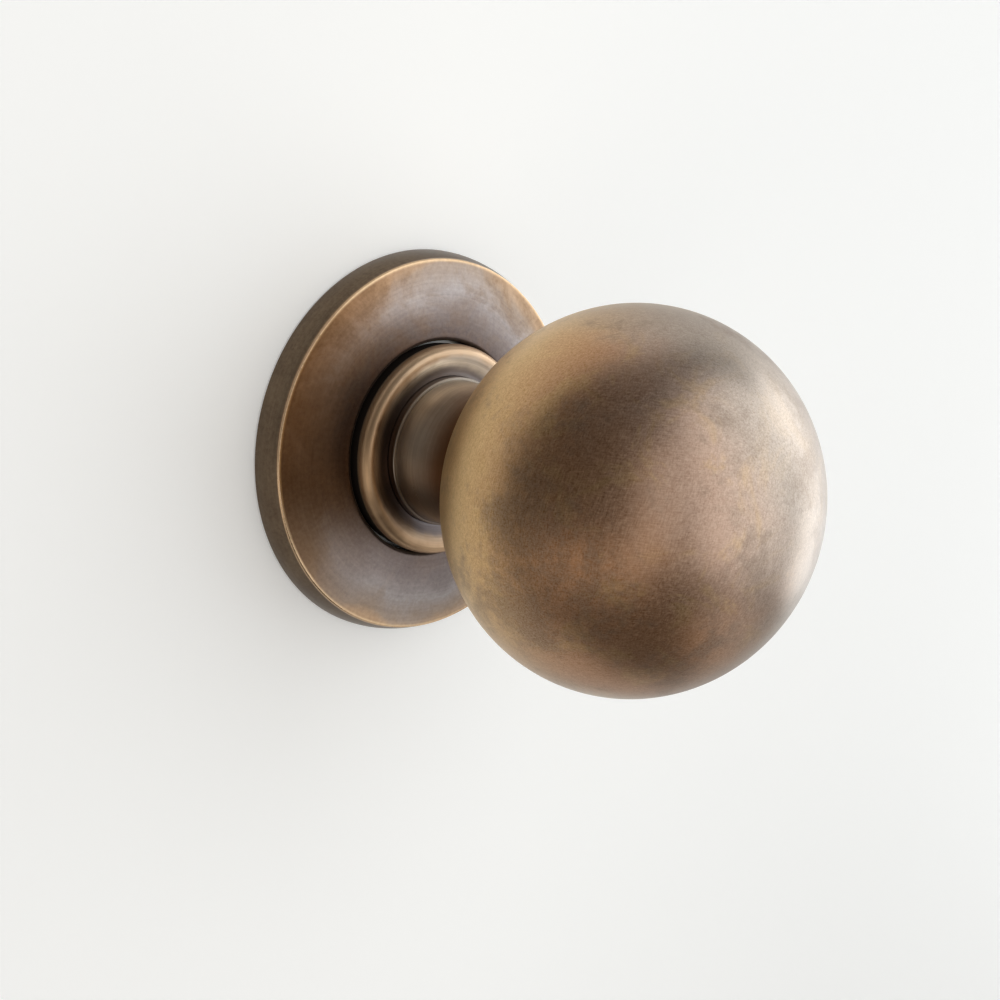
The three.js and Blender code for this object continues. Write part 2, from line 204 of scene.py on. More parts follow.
def bevel_edges(piece, width, segments=2):
    """Rounds a piece's sharp edges."""
    bevel = piece.modifiers.new("bevel", "BEVEL")
    bevel.width = width
    bevel.segments = segments
    bevel.limit_method = "ANGLE"
    bevel.angle_limit = math.radians(50)
    apply(piece, bevel)
    bpy.ops.object.mode_set(mode="EDIT")
    bpy.ops.mesh.select_all(action="SELECT")
    bpy.ops.mesh.remove_doubles(threshold=0.000002)
    bpy.ops.object.mode_set(mode="OBJECT")


def move(piece, x, z):
    piece.location = (x, 0, z)
    pick(piece)
    placed()


def combine(piece, other, operation):
    """Adds another piece to one, or takes it away, and then throws the other away."""
    modifier = piece.modifiers.new("combine", "BOOLEAN")
    modifier.operation = operation
    modifier.solver = "EXACT"
    modifier.object = other
    apply(piece, modifier)
    bpy.data.objects.remove(other)


def cut(piece, cutter):
    combine(piece, cutter, "DIFFERENCE")


def fuse(piece, addition):
    combine(piece, addition, "UNION")


def dress(piece, material):
    piece.data.materials.clear()
    piece.data.materials.append(material)


def finish(piece, body, material, node):
    """Gives a piece its finish and hands it to the frame in place of its CAD node."""
    dress(piece, material)
    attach(piece, body)
    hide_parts(node)


# ---- shader helpers --------------------------------------------------------------------------

class Value:
    """A socket that carries a number; sums on it read as plain arithmetic."""

    def __init__(self, finish_tree, socket):
        self.tree = finish_tree
        self.socket = socket

    def maths(self, operation, *terms):
        return self.tree.node("ShaderNodeMath", {"operation": operation}, dict(enumerate(terms)))

    def __add__(self, other):
        return self.maths("ADD", self, other)

    def __radd__(self, other):
        return self.maths("ADD", other, self)

    def __sub__(self, other):
        return self.maths("SUBTRACT", self, other)

    def __rsub__(self, other):
        return self.maths("SUBTRACT", other, self)

    def __mul__(self, other):
        return self.maths("MULTIPLY", self, other)

    def __rmul__(self, other):
        return self.maths("MULTIPLY", other, self)

    def __truediv__(self, other):
        return self.maths("DIVIDE", self, other)

    def root(self):
        return self.maths("SQRT", self)

    def clamped(self):
        return self.maths("MINIMUM", self.maths("MAXIMUM", self, 0.0), 1.0)

    def between(self, low, high):
        """0 at low and 1 at high, with a soft start and end."""
        return self.tree.node(
            "ShaderNodeMapRange", {"interpolation_type": "SMOOTHSTEP"},
            {"Value": self, "From Min": low, "From Max": high})

    def around(self, middle, width):
        """1 at the middle, falling softly to 0 at the width on each side."""
        return 1 - self.maths("ABSOLUTE", self - middle).between(0.0, width)


class Finish:
    """A material whose nodes are added one after another."""

    def __init__(self, name):
        self.material = bpy.data.materials.new(name)
        self.material.use_nodes = True
        self.nodes = self.material.node_tree.nodes
        self.links = self.material.node_tree.links
        self.shader = self.nodes["Principled BSDF"]
        self.points = self.node("ShaderNodeTexCoord", {}, {}, "Object")

    def node(self, kind, settings, inputs, output=0):
        """Adds a node: its settings first, then the values or links of its sockets."""
        node = self.nodes.new(kind)
        for key, value in settings.items():
            if key == "stops":
                self.fill_ramp(node.color_ramp, value)
            else:
                setattr(node, key, value)
        for key, value in inputs.items():
            self.plug(node.inputs[key], value)
        return Value(self, node.outputs[output])

    def fill_ramp(self, ramp, stops):
        while len(ramp.elements) < len(stops):
            ramp.elements.new(1.0)
        for element, (position, colour) in zip(ramp.elements, stops):
            element.position = position
            element.color = (*colour, 1.0)

    def plug(self, socket, value):
        if isinstance(value, Value):
            self.links.new(value.socket, socket)
        elif isinstance(value, (tuple, list)) and len(value) == 3 and socket.type == "RGBA":
            socket.default_value = (*value, 1.0)
        else:
            socket.default_value = value

    def set(self, **sockets):
        """Sets the shader's sockets, named with underscores for spaces."""
        for key, value in sockets.items():
            self.plug(self.shader.inputs[key.replace("_", " ")], value)

    def axes(self):
        """The point's x, y and z in metres."""
        split = self.node("ShaderNodeSeparateXYZ", {}, {0: self.points})
        outputs = split.socket.node.outputs
        return [Value(self, outputs[axis]) for axis in range(3)]

    def noise(self, scale, detail=4.0, rough=0.55, vector=None, distortion=0.0):
        """Cloudy noise, by default on the point itself; scale is in cells a metre."""
        return self.node(
            "ShaderNodeTexNoise", {"noise_dimensions": "3D"},
            {"Vector": vector or self.points, "Scale": scale, "Detail": detail,
             "Roughness": rough, "Distortion": distortion})

    def stretched(self, along, across, turned=(0.0, 0.0, 0.0)):
        """The point's place with each axis scaled, for streaks that run one way."""
        return self.node(
            "ShaderNodeMapping", {"vector_type": "TEXTURE"},
            {"Vector": self.points, "Rotation": turned,
             "Scale": (1 / across, 1 / across, 1 / along)})

    def blend(self, factor, low, high):
        """Mixes two colours."""
        node = self.nodes.new("ShaderNodeMix")
        node.data_type = "RGBA"
        sockets = {s.identifier: s for s in node.inputs}
        self.plug(sockets["Factor_Float"], factor)
        self.plug(sockets["A_Color"], low)
        self.plug(sockets["B_Color"], high)
        result = {s.identifier: s for s in node.outputs}["Result_Color"]
        return Value(self, result)

    def bump(self, height, strength, distance):
        return self.node(
            "ShaderNodeBump", {},
            {"Height": height, "Strength": strength, "Distance": distance}, "Normal")


def round_axis(finish_tree):
    """Radius about the knob's axis and height above the door's surface."""
    x, y, z = finish_tree.axes()
    radius = (x * x + z * z).root()
    return radius, 0.0 - y


def turning_marks(finish_tree, scale):
    """Fine rings left by turning and circular brushing, seamless round the axis."""
    x, y, z = finish_tree.axes()
    radius = (x * x + z * z).root() + 1e-6
    place = finish_tree.node(
        "ShaderNodeCombineXYZ", {},
        {0: x / radius * 1.2, 1: z / radius * 1.2, 2: radius * scale})
    return finish_tree.node(
        "ShaderNodeTexNoise", {"noise_dimensions": "4D"},
        {"Vector": place, "W": y * scale, "Scale": 1.0, "Detail": 3.0, "Roughness": 0.6})


# ---- finishes --------------------------------------------------------------------------------

GOLD = (0.70, 0.445, 0.155)
COPPER = (0.49, 0.22, 0.085)
ROSE = (0.51, 0.325, 0.24)
STONE = (0.54, 0.465, 0.405)
PAINTED_RIGHT_REFLECTION_GREY = (0.51, 0.475, 0.455)
SLATE = (0.41, 0.385, 0.39)
UMBER = (0.12, 0.064, 0.034)
BRIGHT = (0.88, 0.62, 0.38)
PALE = (0.82, 0.70, 0.56)
# Near black for painted shade in the gaps.
GAP_SHADE_BLACK = (0.02, 0.015, 0.012)


def ball_brass():
    """Relieved antique brass with clouded brown patina and gold wear at random, its tints laid
    out as painted reflections, painted shade on the top, bottom and lower right, and a pale
    painted reflection along the bottom.
    """
    tree = Finish("ball_brass")
    x, y, z = tree.axes()
    cloud = tree.noise(80.0, 4.0, 0.6, distortion=0.6)
    broad = tree.noise(36.0, 3.0, 0.5, distortion=0.3)
    fleck = tree.noise(3400.0, 3.0, 0.75)
    pits = tree.noise(700.0, 4.0, 0.7)
    hatch = tree.noise(1.0, 3.0, 0.6, tree.stretched(800.0, 5200.0, (0.1, 0.1, 0.0)))
    hatch = hatch + tree.noise(1.0, 3.0, 0.6, tree.stretched(800.0, 5200.0, (1.5, 0.1, 0.8)))
    waver = (broad - 0.5) * 1.4 + (cloud - 0.5) * 0.8
    # Painted reflection: the brass's tints are laid out by side, gold towards the door, copper to
    # rose towards the front, stone grey and then pale grey towards the right, as the wall, the
    # front light and the window show in the ball.
    behind = ((y + BALL_CENTRE) / BALL_DEPTH + waver * 0.25).between(-0.4, 0.35)
    painted_window_reflection = ((x + z * 0.45) / BALL_RADIUS + waver * 0.5).between(-0.5, 0.2)
    painted_front_reflection = z * 0.5 / BALL_RADIUS - (y + BALL_CENTRE) / BALL_DEPTH + waver * 0.4
    tone = tree.blend(painted_front_reflection.between(0.4, 0.9), COPPER, ROSE)
    tone = tree.blend(painted_window_reflection, tone, STONE)
    tone = tree.blend(behind, tone, GOLD)
    edge = (x / BALL_RADIUS).between(0.15, 0.6)
    tone = tree.blend(edge, tone, PAINTED_RIGHT_REFLECTION_GREY)
    gilt = tree.noise(130.0, 4.0, 0.65, distortion=0.8).between(0.5, 0.66)
    tone = tree.blend(gilt * (0.4 - painted_window_reflection * 0.3), tone, GOLD)
    # Painted shade: the ball's bottom, its crown and its lower right are darkened towards umber.
    low = (0.0 - z / BALL_RADIUS + waver * 0.25).between(0.45, 1.1)
    crown = (z / BALL_RADIUS).between(0.75, 1.0)
    painted_lower_right_shade = (x / BALL_RADIUS).between(-0.3, 0.3) * (0.0 - z / BALL_RADIUS).between(0.2, 0.6)
    tone = tree.blend(low * 0.58 + crown * 0.55 + painted_lower_right_shade * 0.6, tone, UMBER)
    # Painted reflection: a pale band along the very bottom of the ball.
    painted_bottom_reflection = (0.0 - z / BALL_RADIUS).between(0.86, 0.99)
    tone = tree.blend(painted_bottom_reflection * 0.6, tone, (0.60, 0.52, 0.42))
    brown = (cloud * 0.6 + broad * 0.4 + (pits - 0.5) * 0.3).between(0.46, 0.62)
    tone = tree.blend(brown * (0.54 - painted_window_reflection * 0.18 - edge * 0.26), tone, UMBER)
    grain = ((fleck - 0.5) * 1.0 + (hatch - 1.0) * 1.3 + (pits - 0.5) * 0.3 + 0.5).clamped()
    tone = tree.blend(grain, tree.blend(0.45, tone, UMBER), tree.blend(0.28, tone, PALE))
    tree.set(
        Base_Color=tone, Metallic=1.0,
        Roughness=0.38 + (grain - 0.5) * 0.14 + brown * 0.06,
        Normal=tree.bump(hatch + fleck * 0.5 + pits * 0.2, 0.13, 0.00004))
    return tree.material


def rosette_brass():
    """Worn gold by the rim, red-brown clouds inside it, slate by the hole, a bright edge; a
    painted reflection on the face's left, painted shade on its lower left, at the hole's edge and
    inside the hole.
    """
    tree = Finish("rosette_brass")
    x, y, z = tree.axes()
    radius, height = round_axis(tree)
    cloud = tree.noise(95.0, 5.0, 0.65, distortion=0.8)
    broad = tree.noise(45.0, 3.0, 0.5)
    marks = turning_marks(tree, 2600.0)
    fleck = tree.noise(1500.0, 3.0, 0.7)
    wander = (broad - 0.5) * 0.010 + (cloud - 0.5) * 0.006
    inward = (radius + wander).between(HOLE_RADIUS - 0.5 * MM, RIM_RADIUS + 1.0 * MM)
    # Slate patina towards the hole; the near-black first stop, at the hole's edge, is painted
    # shade.
    face = tree.node(
        "ShaderNodeValToRGB",
        {"stops": [(0.0, (0.085, 0.08, 0.095)), (0.25, (0.24, 0.22, 0.23)), (0.5, SLATE),
                   (0.86, (0.40, 0.32, 0.265)), (1.0, (0.60, 0.40, 0.25))]},
        {"Fac": inward})
    # Painted reflection: the face's left, strongest near the rim and fading towards the bottom,
    # is tinted copper-brown as the ball shows in it.
    painted_ball_reflection = (0.0 - x / ROSETTE_RADIUS + wander * 40.0).between(0.1, 0.8)
    painted_ball_reflection = painted_ball_reflection * (z / ROSETTE_RADIUS + wander * 40.0).between(-0.7, 0.1)
    face = tree.blend(painted_ball_reflection * inward * 0.8, face, (0.40, 0.215, 0.105))
    # Painted shade: the face's lower left is darkened almost to umber.
    dim = (0.0 - x / ROSETTE_RADIUS).between(0.1, 0.9)
    dim = dim * (0.2 - z / ROSETTE_RADIUS).between(0.0, 0.5)
    face = tree.blend(dim * 0.95, face, UMBER)
    clouded = (z / ROSETTE_RADIUS).between(-0.8, 0.1) * 0.3 + 0.2
    face = tree.blend(cloud.between(0.42, 0.66) * clouded, face, UMBER)
    side = tree.blend(cloud.between(0.35, 0.7), (0.06, 0.048, 0.037), (0.105, 0.082, 0.058))
    on_side = 1 - height.between(RIM_HEIGHT - 0.5 * MM, RIM_HEIGHT - 0.2 * MM)
    tone = tree.blend(on_side, face, side)
    rim = radius.around(RIM_RADIUS, 0.6 * MM)
    rim = rim * height.between(RIM_HEIGHT - 0.35 * MM, RIM_HEIGHT - 0.1 * MM)
    worn = (rim * (cloud * 1.5 + 0.45)).clamped()
    tone = tree.blend(worn, tone, BRIGHT)
    # Painted shade: the wall of the rosette's hole is painted near black, dull and not metallic,
    # for the shadow in the gap round the collar.
    inside = 1 - radius.between(HOLE_RADIUS + 0.1 * MM, HOLE_RADIUS + 0.6 * MM)
    tone = tree.blend(inside, tone, GAP_SHADE_BLACK)
    grain = ((marks - 0.5) * 0.8 + (fleck - 0.5) * 1.2 + 0.5).clamped()
    tone = tree.blend(grain, tree.blend(0.4, tone, UMBER), tree.blend(0.12, tone, BRIGHT))
    tree.set(
        Base_Color=tone, Metallic=1 - inside, Specular_IOR_Level=0.1,
        Roughness=0.37 + (marks - 0.5) * 0.12 + (cloud - 0.5) * 0.14 - worn * 0.08 + inside * 0.3,
        Normal=tree.bump(marks * 0.5 + fleck * 0.5, 0.1, 0.00003))
    return tree.material


def collar_brass():
    """The bead rubbed to gold and slate inside; a painted highlight on the dished face's top,
    painted shade on its left and on the skirt below the bead.
    """
    tree = Finish("collar_brass")
    x, y, z = tree.axes()
    radius, height = round_axis(tree)
    cloud = tree.noise(90.0, 4.0, 0.6)
    marks = turning_marks(tree, 3200.0)
    outward = (radius + (cloud - 0.5) * 0.004).between(NECK_RADIUS, COLLAR_RADIUS - 0.3 * MM)
    face = tree.node(
        "ShaderNodeValToRGB",
        {"stops": [(0.0, (0.24, 0.22, 0.23)), (0.2, (0.33, 0.28, 0.26)),
                   (0.42, (0.56, 0.42, 0.30)), (1.0, (0.66, 0.44, 0.26))]},
        {"Fac": outward})
    dish = 1 - outward.between(0.65, 0.9)
    # Painted highlight: the top of the dished face is paled towards cream, most in the middle of
    # the dish.
    painted_top_highlight = (z / COLLAR_RADIUS).between(0.1, 0.75)
    left = (0.0 - x / COLLAR_RADIUS).between(0.2, 0.8)
    inner = outward.around(0.45, 0.42)
    face = tree.blend(painted_top_highlight * (inner * 0.75 + 0.12), face, (0.90, 0.80, 0.68))
    # Painted shade: the dish is darkened towards umber on its left, away from the top.
    face = tree.blend(left * dish * (1 - painted_top_highlight) * 0.65, face, UMBER)
    face = tree.blend(cloud.between(0.45, 0.7) * 0.5, face, UMBER)
    face = tree.blend((marks - 0.5) * 1.4 + 0.25, face, tree.blend(0.5, face, UMBER))
    # Painted shade: the skirt below the bead, down in the rosette's hole, is painted near black,
    # dull and not metallic.
    painted_skirt_shade = 1 - height.between(BEAD_HEIGHT - 1.0 * MM, BEAD_HEIGHT + 0.3 * MM)
    tone = tree.blend(painted_skirt_shade, face, GAP_SHADE_BLACK)
    tree.set(
        Base_Color=tone, Metallic=1 - painted_skirt_shade, Specular_IOR_Level=0.1,
        Roughness=0.42 + (marks - 0.5) * 0.14 + (cloud - 0.5) * 0.1 + painted_skirt_shade * 0.2,
        Normal=tree.bump(marks, 0.1, 0.00003))
    return tree.material


def neck_brass():
    """Pale grey by the foot, partly a painted highlight, dark red-brown near the ball, painted
    shade underneath and below the foot step, with turning marks.
    """
    tree = Finish("neck_brass")
    x, y, z = tree.axes()
    radius, height = round_axis(tree)
    cloud = tree.noise(110.0, 4.0, 0.6)
    marks = turning_marks(tree, 2600.0)
    # Pale grey by the foot, partly a painted highlight, turning dark red-brown towards the ball.
    rise = (height + (cloud - 0.5) * 0.005).between(FOOT_HEIGHT + 0.2 * MM, BALL_SEAT - 5 * MM)
    tone = tree.blend(rise, (0.74, 0.66, 0.54), (0.21, 0.105, 0.048))
    # Painted shade: the neck's underside is darkened towards umber.
    under = (0.0 - z).between(1 * MM, 8 * MM)
    tone = tree.blend(under * 0.72, tone, UMBER)
    # Painted shade: the neck below its foot step, down in the collar, is darkened towards umber.
    low = 1 - height.between(FOOT_HEIGHT - 0.4 * MM, FOOT_HEIGHT - 0.1 * MM)
    tone = tree.blend(low * 0.8, tone, UMBER)
    foot = height.around(FOOT_HEIGHT, 0.35 * MM)
    tone = tree.blend(foot * 0.7, tone, (0.15, 0.13, 0.12))
    tone = tree.blend((marks - 0.5) * 1.5 + 0.25, tone, tree.blend(0.5, tone, UMBER))
    tree.set(
        Base_Color=tone, Metallic=1.0,
        Roughness=0.33 + (marks - 0.5) * 0.22 + (cloud - 0.5) * 0.1,
        Normal=tree.bump(marks, 0.16, 0.00005))
    return tree.material


def zinc_steel():
    """Zinc-plated steel: a fine crystal bloom, drawing marks and faint yellow passivation."""
    tree = Finish("zinc_steel")
    bloom = tree.noise(420.0, 5.0, 0.65)
    tint = tree.noise(60.0, 3.0, 0.5).between(0.35, 0.7)
    tone = tree.blend(tint, (0.56, 0.58, 0.60), (0.64, 0.61, 0.52))
    tone = tree.blend(bloom * 0.5, tone, (0.74, 0.75, 0.76))
    drawn = tree.noise(1.0, 2.0, 0.5, tree.stretched(90.0, 1500.0))
    tree.set(
        Base_Color=tone, Metallic=1.0, Roughness=0.34 + (bloom - 0.5) * 0.3 + tint * 0.06,
        Normal=tree.bump(bloom * 0.5 + drawn * 0.5, 0.12, 0.00005))
    return tree.material


def black_steel():
    """Black oxide over steel, oily and a little brown, rubbed through in specks."""
    tree = Finish("black_steel")
    speck = tree.noise(1600.0, 3.0, 0.7)
    cloud = tree.noise(160.0, 3.0, 0.55)
    tone = tree.blend(cloud, (0.055, 0.055, 0.06), (0.11, 0.09, 0.075))
    tone = tree.blend(speck.between(0.62, 0.75) * 0.6, tone, (0.4, 0.39, 0.38))
    tree.set(
        Base_Color=tone, Metallic=1.0, Roughness=0.42 + (speck - 0.5) * 0.3,
        Normal=tree.bump(speck, 0.12, 0.00003))
    return tree.material


def machined_brass():
    """Bare bearing brass with fine turning rings and a little tarnish."""
    tree = Finish("machined_brass")
    marks = turning_marks(tree, 4200.0)
    cloud = tree.noise(130.0, 4.0, 0.6)
    tone = tree.blend(cloud.between(0.4, 0.75), (0.80, 0.60, 0.30), (0.52, 0.36, 0.17))
    tone = tree.blend((marks - 0.5) * 0.8 + 0.3, tone, tree.blend(0.35, tone, UMBER))
    tree.set(
        Base_Color=tone, Metallic=1.0, Roughness=0.27 + (marks - 0.5) * 0.25,
        Normal=tree.bump(marks, 0.15, 0.00005))
    return tree.material


def natural_nylon():
    """Milky moulded nylon with a faint flow pattern."""
    tree = Finish("natural_nylon")
    flow = tree.noise(260.0, 3.0, 0.5, distortion=0.8)
    tree.set(
        Base_Color=tree.blend(flow, (0.80, 0.77, 0.69), (0.90, 0.88, 0.82)),
        Roughness=0.42 + (flow - 0.5) * 0.2, Subsurface_Weight=0.15,
        Normal=tree.bump(flow, 0.1, 0.00004))
    return tree.material


# ---- turned pieces ---------------------------------------------------------------------------

def rosette():
    """A spun cover: straight side wall, crisp rim, faintly domed face, rolled hole edge."""
    foot = 0.15 * MM
    crown = 0.3 * MM
    roll = 0.8 * MM
    inner_bend = 1.2 * MM
    inside = ROSETTE_FRONT - ROSETTE_WALL - 0.2 * MM
    outline = [(ROSETTE_RADIUS - ROSETTE_WALL, 0.0), (ROSETTE_RADIUS - foot, 0.0)]
    for i in range(13):
        along = i / 12
        height = foot + (RIM_HEIGHT - crown - foot) * along
        taper = (ROSETTE_RADIUS - RIM_RADIUS - 0.1 * MM) * along ** 2
        outline.append((ROSETTE_RADIUS - taper, height))
    outline += arc(
        RIM_RADIUS + 0.1 * MM - crown, RIM_HEIGHT - crown, crown, crown, 12, 90, 8)
    first = outline[-1][0]
    last = HOLE_RADIUS + roll
    for i in range(1, 25):
        along = i / 25
        rise = (ROSETTE_FRONT - RIM_HEIGHT) * (math.sin(along * math.pi / 2) ** 1.3)
        outline.append((first + (last - first) * along, RIM_HEIGHT + rise))
    outline += arc(last, ROSETTE_FRONT - roll, roll, roll, 90, 180, 10)
    outline += [(HOLE_RADIUS, inside), (24 * MM, inside - 0.3 * MM)]
    outline += arc(
        ROSETTE_RADIUS - ROSETTE_WALL - inner_bend, RIM_HEIGHT - ROSETTE_WALL - inner_bend,
        inner_bend, inner_bend, 90, 0, 6)
    piece = turn("rosette_cover", outline, 256)
    smooth(piece)
    return piece


def collar():
    """The collar: a rounded bead, and inside it a dished face that falls to the neck."""
    press_fit = JOURNAL_RADIUS + 0.1 * MM
    bore = NECK_RADIUS + 0.1 * MM
    bead = COLLAR_RADIUS - 1.45 * MM
    dish = 1.15 * MM
    skirt = COLLAR_RADIUS - 0.2 * MM
    chamfer = 0.3 * MM
    outline = [(press_fit, COLLAR_BACK), (skirt - chamfer, COLLAR_BACK)]
    outline += [(skirt, COLLAR_BACK + chamfer), (skirt, BEAD_HEIGHT - 0.8 * MM)]
    outline += arc(
        bead, BEAD_HEIGHT, COLLAR_RADIUS - bead, COLLAR_FRONT - BEAD_HEIGHT, -20, 90, 24)
    for along, ease in eased(16):
        outline.append((bead + (bore - bead) * along, COLLAR_FRONT - dish * ease))
    outline += [(bore, SHOULDER), (press_fit, SHOULDER)]
    piece = turn("collar_ring", outline, 224)
    smooth(piece)
    return piece


def neck():
    """The neck, from its fine foot step to the flare under the ball, and the bearing journal."""
    shoulder = SHOULDER + 0.1 * MM
    end = rear("neck")
    chamfer = 0.4 * MM
    groove = JOURNAL_RADIUS - 0.8 * MM
    groove_back, groove_front = CIRCLIP_GROOVE
    outline = [(JOURNAL_RADIUS - chamfer, end), (JOURNAL_RADIUS, end + chamfer)]
    outline += [(JOURNAL_RADIUS, groove_back), (groove, groove_back)]
    outline += [(groove, groove_front), (JOURNAL_RADIUS, groove_front)]
    outline += [(JOURNAL_RADIUS, shoulder), (NECK_RADIUS, shoulder)]
    edge = 0.18 * MM
    outline += arc(NECK_RADIUS - edge, FOOT_HEIGHT - edge, edge, edge, 0, 90, 6)
    foot = NECK_RADIUS - 0.4 * MM
    outline += [(foot, FOOT_HEIGHT + 0.02 * MM)]
    waist_height = 19 * MM
    for along, ease in eased(16):
        height = FOOT_HEIGHT + (waist_height - FOOT_HEIGHT) * along
        outline.append((foot + (NECK_WAIST - foot) * ease, height))
    seat = BALL_SEAT - 0.05 * MM
    flare = arc(NECK_TOP, waist_height, NECK_TOP - NECK_WAIST, seat - waist_height, 180, 92, 14)
    outline += flare[1:]
    outline += [(JOURNAL_RADIUS, seat), (JOURNAL_RADIUS, front("neck"))]
    piece = turn("neck_turning", outline, 192, closed=False)
    side = 8.2 * MM
    cut(piece, block(side, end - 2 * MM, SOCKET_FRONT, side))
    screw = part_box("set_screw")
    screw_y = (screw[0][1] + screw[1][1]) / 2
    depth = 14 * MM
    deselect()
    bpy.ops.mesh.primitive_cylinder_add(
        vertices=64, radius=2.15 * MM, depth=depth, location=(0, screw_y, -depth / 2))
    cut(piece, placed())
    bevel_edges(piece, 0.12 * MM)
    smooth(piece)
    return piece


def ball():
    """The hollow ball: a sphere cut flat at its seat, given its wall and a rounded lip."""
    deselect()
    bpy.ops.mesh.primitive_uv_sphere_add(
        segments=192, ring_count=96, radius=1.0, location=(0, -BALL_CENTRE, 0),
        rotation=(math.pi / 2, 0, 0), scale=(BALL_RADIUS, BALL_RADIUS, BALL_DEPTH))
    piece = placed()
    piece.name = "ball_grip"
    piece.data.name = "ball_grip"
    bpy.ops.object.mode_set(mode="EDIT")
    bpy.ops.mesh.select_all(action="SELECT")
    bpy.ops.mesh.bisect(
        plane_co=(0, -BALL_SEAT, 0), plane_no=(0, 1, 0), clear_outer=True, use_fill=False)
    select_open_edges()
    mouth = 10.1 * MM / NECK_TOP
    bpy.ops.mesh.extrude_region_move(TRANSFORM_OT_translate={"value": (0, 0, 0)})
    bpy.ops.transform.resize(value=(mouth, 1, mouth), center_override=(0, -BALL_SEAT, 0))
    bpy.ops.mesh.extrude_region_move(TRANSFORM_OT_translate={"value": (0, -BALL_WALL, 0)})
    bpy.ops.mesh.select_all(action="SELECT")
    bpy.ops.mesh.normals_make_consistent(inside=False)
    bpy.ops.object.mode_set(mode="OBJECT")
    bevel_edges(piece, 0.15 * MM, 3)
    wall = piece.modifiers.new("wall", "SOLIDIFY")
    wall.thickness = 0.8 * MM
    wall.offset = -1.0
    apply(piece, wall)
    smooth(piece, 40)
    return piece


# ---- pieces behind the rosette ---------------------------------------------------------------

THROUGH_BOLTS = ("fixing_bolt_left", "fixing_bolt_right")
EAR_SCREWS = ("housing_screw_top", "housing_screw_bottom")


def middle(node):
    """The x and z of a node's middle."""
    low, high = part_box(node)
    return (low[0] + high[0]) / 2, (low[2] + high[2]) / 2


def plate():
    """The round plate: its edges broken, holes for the bearing, bolts, screws and rivets."""
    low, high = rear("mounting_plate"), front("mounting_plate")
    piece = cylinder(outer_radius("mounting_plate"), low, high, vertices=224)
    piece.name = "plate_disc"
    holes = [(BUSH_RADIUS + 0.05 * MM, 0.0, 0.0)]
    holes += [(BOLT_HOLE, *middle(bolt)) for bolt in THROUGH_BOLTS]
    holes += [(SCREW_HOLE, *middle(screw)) for screw in EAR_SCREWS]
    holes += [(RIVET_HOLE, *middle(f"clip_rivet_{i}")) for i in (1, 2, 3)]
    for radius, x, z in holes:
        cut(piece, cylinder(radius, low - MM, high + MM, x, z, 64))
    bevel_edges(piece, 0.15 * MM)
    smooth(piece)
    return piece


def housing():
    """The drawn steel cup round the spring, with a soft shoulder and two screw ears."""
    back, face = rear("spring_housing"), front("spring_housing")
    radius = CUP_RADIUS
    wall = 1.0 * MM
    hole = 7 * MM
    shoulder = 1.8 * MM
    outline = [(hole, back), (radius - shoulder, back)]
    outline += arc(radius - shoulder, back + shoulder, shoulder, shoulder, -84, 0, 9)
    outline += [(radius, face), (radius - wall, face)]
    inner = shoulder - wall
    outline += arc(radius - shoulder, back + shoulder, inner, inner, 0, -90, 7)
    outline += [(hole, back + wall)]
    piece = turn("spring_cup", outline, 192)
    thick = 1.2 * MM
    ear = 3.5 * MM
    for node in EAR_SCREWS:
        x, z = middle(node)
        root = math.copysign(radius - 0.4 * MM, z)
        fuse(piece, cylinder(ear, face - thick, face, x, z, 64))
        fuse(piece, block(2 * ear, face - thick, face, abs(z - root), x, (z + root) / 2))
        cut(piece, cylinder(1.7 * MM, face - 2 * thick, face + thick, x, z, 48))
    bevel_edges(piece, 0.18 * MM)
    smooth(piece)
    return piece


def through_bolt(node):
    """A slotted through bolt: a chamfered tip, a cut thread and a low rounded head."""
    tip, top = rear(node), front(node)
    shank = 2.0 * MM
    root = 1.68 * MM
    pitch = 0.7 * MM
    ridges = 38
    head = 3.6 * MM
    head_low = top - 1.6 * MM
    outline = [(1.2 * MM, tip), (root, tip + 0.45 * MM)]
    for i in range(ridges):
        height = tip + 0.5 * MM + i * pitch
        outline += [(shank, height + 0.28 * pitch), (shank, height + 0.44 * pitch)]
        outline += [(root, height + 0.86 * pitch), (root, height + pitch)]
    outline += [(shank - 0.05 * MM, outline[-1][1] + 0.4 * MM), (shank - 0.05 * MM, head_low)]
    outline += [(head - 0.2 * MM, head_low), (head, head_low + 0.2 * MM)]
    outline += arc(head - 0.9 * MM, top - 0.9 * MM, 0.9 * MM, 0.9 * MM, 0, 88, 8)
    piece = turn(node + "_threaded", outline, 40, closed=False)
    x, z = middle(node)
    move(piece, x, z)
    cut(piece, block(8 * MM, top - 0.8 * MM, top + 0.8 * MM, 0.9 * MM, x, z))
    smooth(piece)
    return piece


def ear_screw(node):
    """A slotted pan-head screw driven through the cup's ear from behind."""
    back, end = rear(node), front(node)
    head = 2.7 * MM
    head_front = back + 1.6 * MM
    shank = 1.45 * MM
    outline = [(head - 0.8 * MM, back)]
    outline += arc(head - 0.8 * MM, back + 0.8 * MM, 0.8 * MM, 0.8 * MM, -80, 0, 8)
    outline += [(head, head_front - 0.1 * MM), (head - 0.1 * MM, head_front)]
    outline += [(shank, head_front), (shank, end - 0.3 * MM), (shank - 0.3 * MM, end)]
    piece = turn(node + "_slotted", outline, 64, closed=False)
    x, z = middle(node)
    move(piece, x, z)
    cut(piece, block(6 * MM, back - 0.7 * MM, back + 0.7 * MM, 0.7 * MM, x, z))
    bevel_edges(piece, 0.06 * MM)
    smooth(piece)
    return piece


